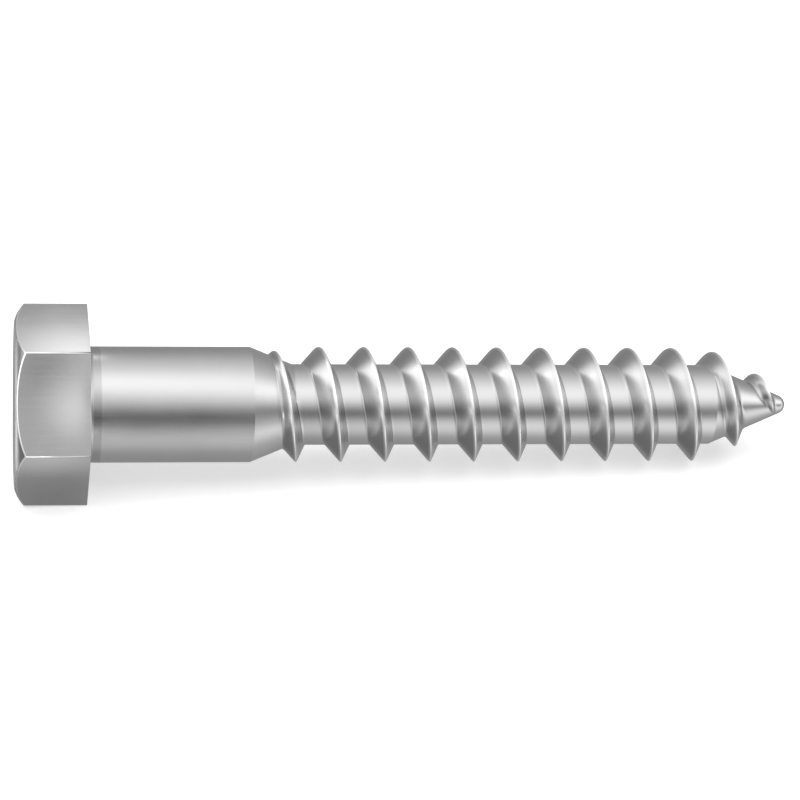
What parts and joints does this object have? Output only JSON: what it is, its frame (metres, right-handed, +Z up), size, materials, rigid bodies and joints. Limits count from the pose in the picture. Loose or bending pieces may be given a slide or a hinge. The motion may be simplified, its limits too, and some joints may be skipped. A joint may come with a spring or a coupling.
{
  "type": "lag screw",
  "caption": "Hexagon-head wood screw of plain steel: domed hexagon head, smooth shank, short taper, coarse right-hand wood thread and a rounded gimlet point.",
  "frame": {"origin": "middle of the bounding box at the height of the surface that the screw lies on", "axes": "+X from the head to the point, along the screw as it lies, with the point end a little lower than the head; +Z up; the hexagon has a flat at the bottom and corners towards +Y and -Y"},
  "size_m": [0.0632, 0.016, 0.0141],
  "materials": {
    "steel": "bright plain steel with a smooth satin gloss, faint turned marks on the shank and lightly worn edges"
  },
  "bodies": {
    "root": {"lag_screw": "steel"}
  },
  "joints": []
}
